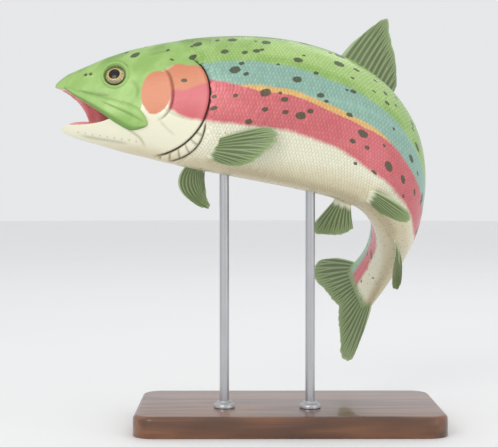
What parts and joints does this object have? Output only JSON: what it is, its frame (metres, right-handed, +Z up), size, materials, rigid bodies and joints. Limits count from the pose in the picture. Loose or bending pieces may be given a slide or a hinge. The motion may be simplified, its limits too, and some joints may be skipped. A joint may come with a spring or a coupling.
{
  "type": "rainbow trout",
  "caption": "Life-size rainbow trout leaping with its mouth open and its tail curled under, held on a plain display stand with a wooden base and steel rods.",
  "frame": {"origin": "centre of the stand base's underside", "axes": "+X from the trout's head towards the bend of its body, -Y where its left flank faces, +Z up"},
  "size_m": [0.327, 0.2512, 0.3538],
  "materials": {
    "trout_skin": "wet, glossy",
    "fin_membrane": "wet, glossy",
    "eye": "clear gloss",
    "mouth_lining": "wet, glossy",
    "stand_wood": "satin varnish",
    "stand_steel": "satin"
  },
  "bodies": {
    "root": {"head": "trout_skin", "lower_jaw": "trout_skin", "maxilla_left": "trout_skin", "maxilla_right": "trout_skin", "gill_cover_left": "trout_skin", "gill_cover_right": "trout_skin", "trunk_front": "trout_skin", "trunk_middle": "trout_skin", "trunk_rear": "trout_skin", "tail_stalk": "trout_skin", "dorsal_fin": "fin_membrane", "adipose_fin": "fin_membrane", "caudal_fin_upper": "fin_membrane", "caudal_fin_lower": "fin_membrane", "anal_fin": "fin_membrane", "pelvic_fin_left": "fin_membrane", "pelvic_fin_right": "fin_membrane", "pectoral_fin_left": "fin_membrane", "pectoral_fin_right": "fin_membrane", "eye_left": "eye", "eye_right": "eye", "tongue": "mouth_lining", "stand_base": "stand_wood", "stand_rod_front": "stand_steel", "stand_rod_rear": "stand_steel", "stand_collar_front": "stand_steel", "stand_collar_rear": "stand_steel"}
  },
  "joints": []
}
